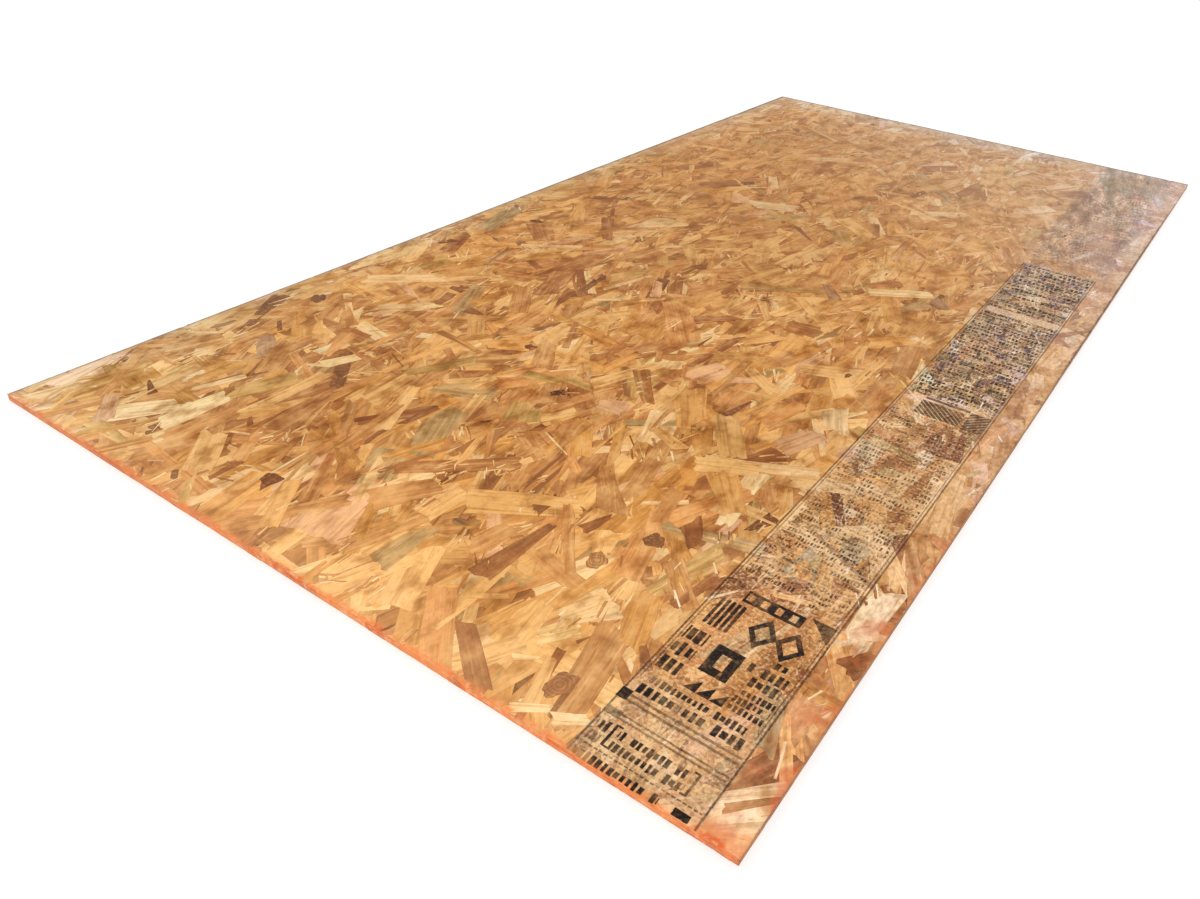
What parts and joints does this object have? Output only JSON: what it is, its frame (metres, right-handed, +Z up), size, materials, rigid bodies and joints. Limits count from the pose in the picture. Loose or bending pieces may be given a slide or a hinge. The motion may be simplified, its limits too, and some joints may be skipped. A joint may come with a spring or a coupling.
{
  "type": "osb panel",
  "caption": "Flat square-edged rectangular sheet of pressed wood strands for floor, wall and roof sheathing.",
  "frame": {"origin": "middle of the underside, on the surface that the panel lies on", "axes": "+Y along the panel's length, the way the face strands mostly lie; +X across its width; +Z up through its thickness"},
  "size_m": [1.2192, 2.4384, 0.0111],
  "materials": {
    "strand_board": "pressed wood strands with a thin resin and wax sheen; sawn edges sealed with orange paint"
  },
  "bodies": {
    "root": {"osb_panel": "strand_board"}
  },
  "joints": []
}
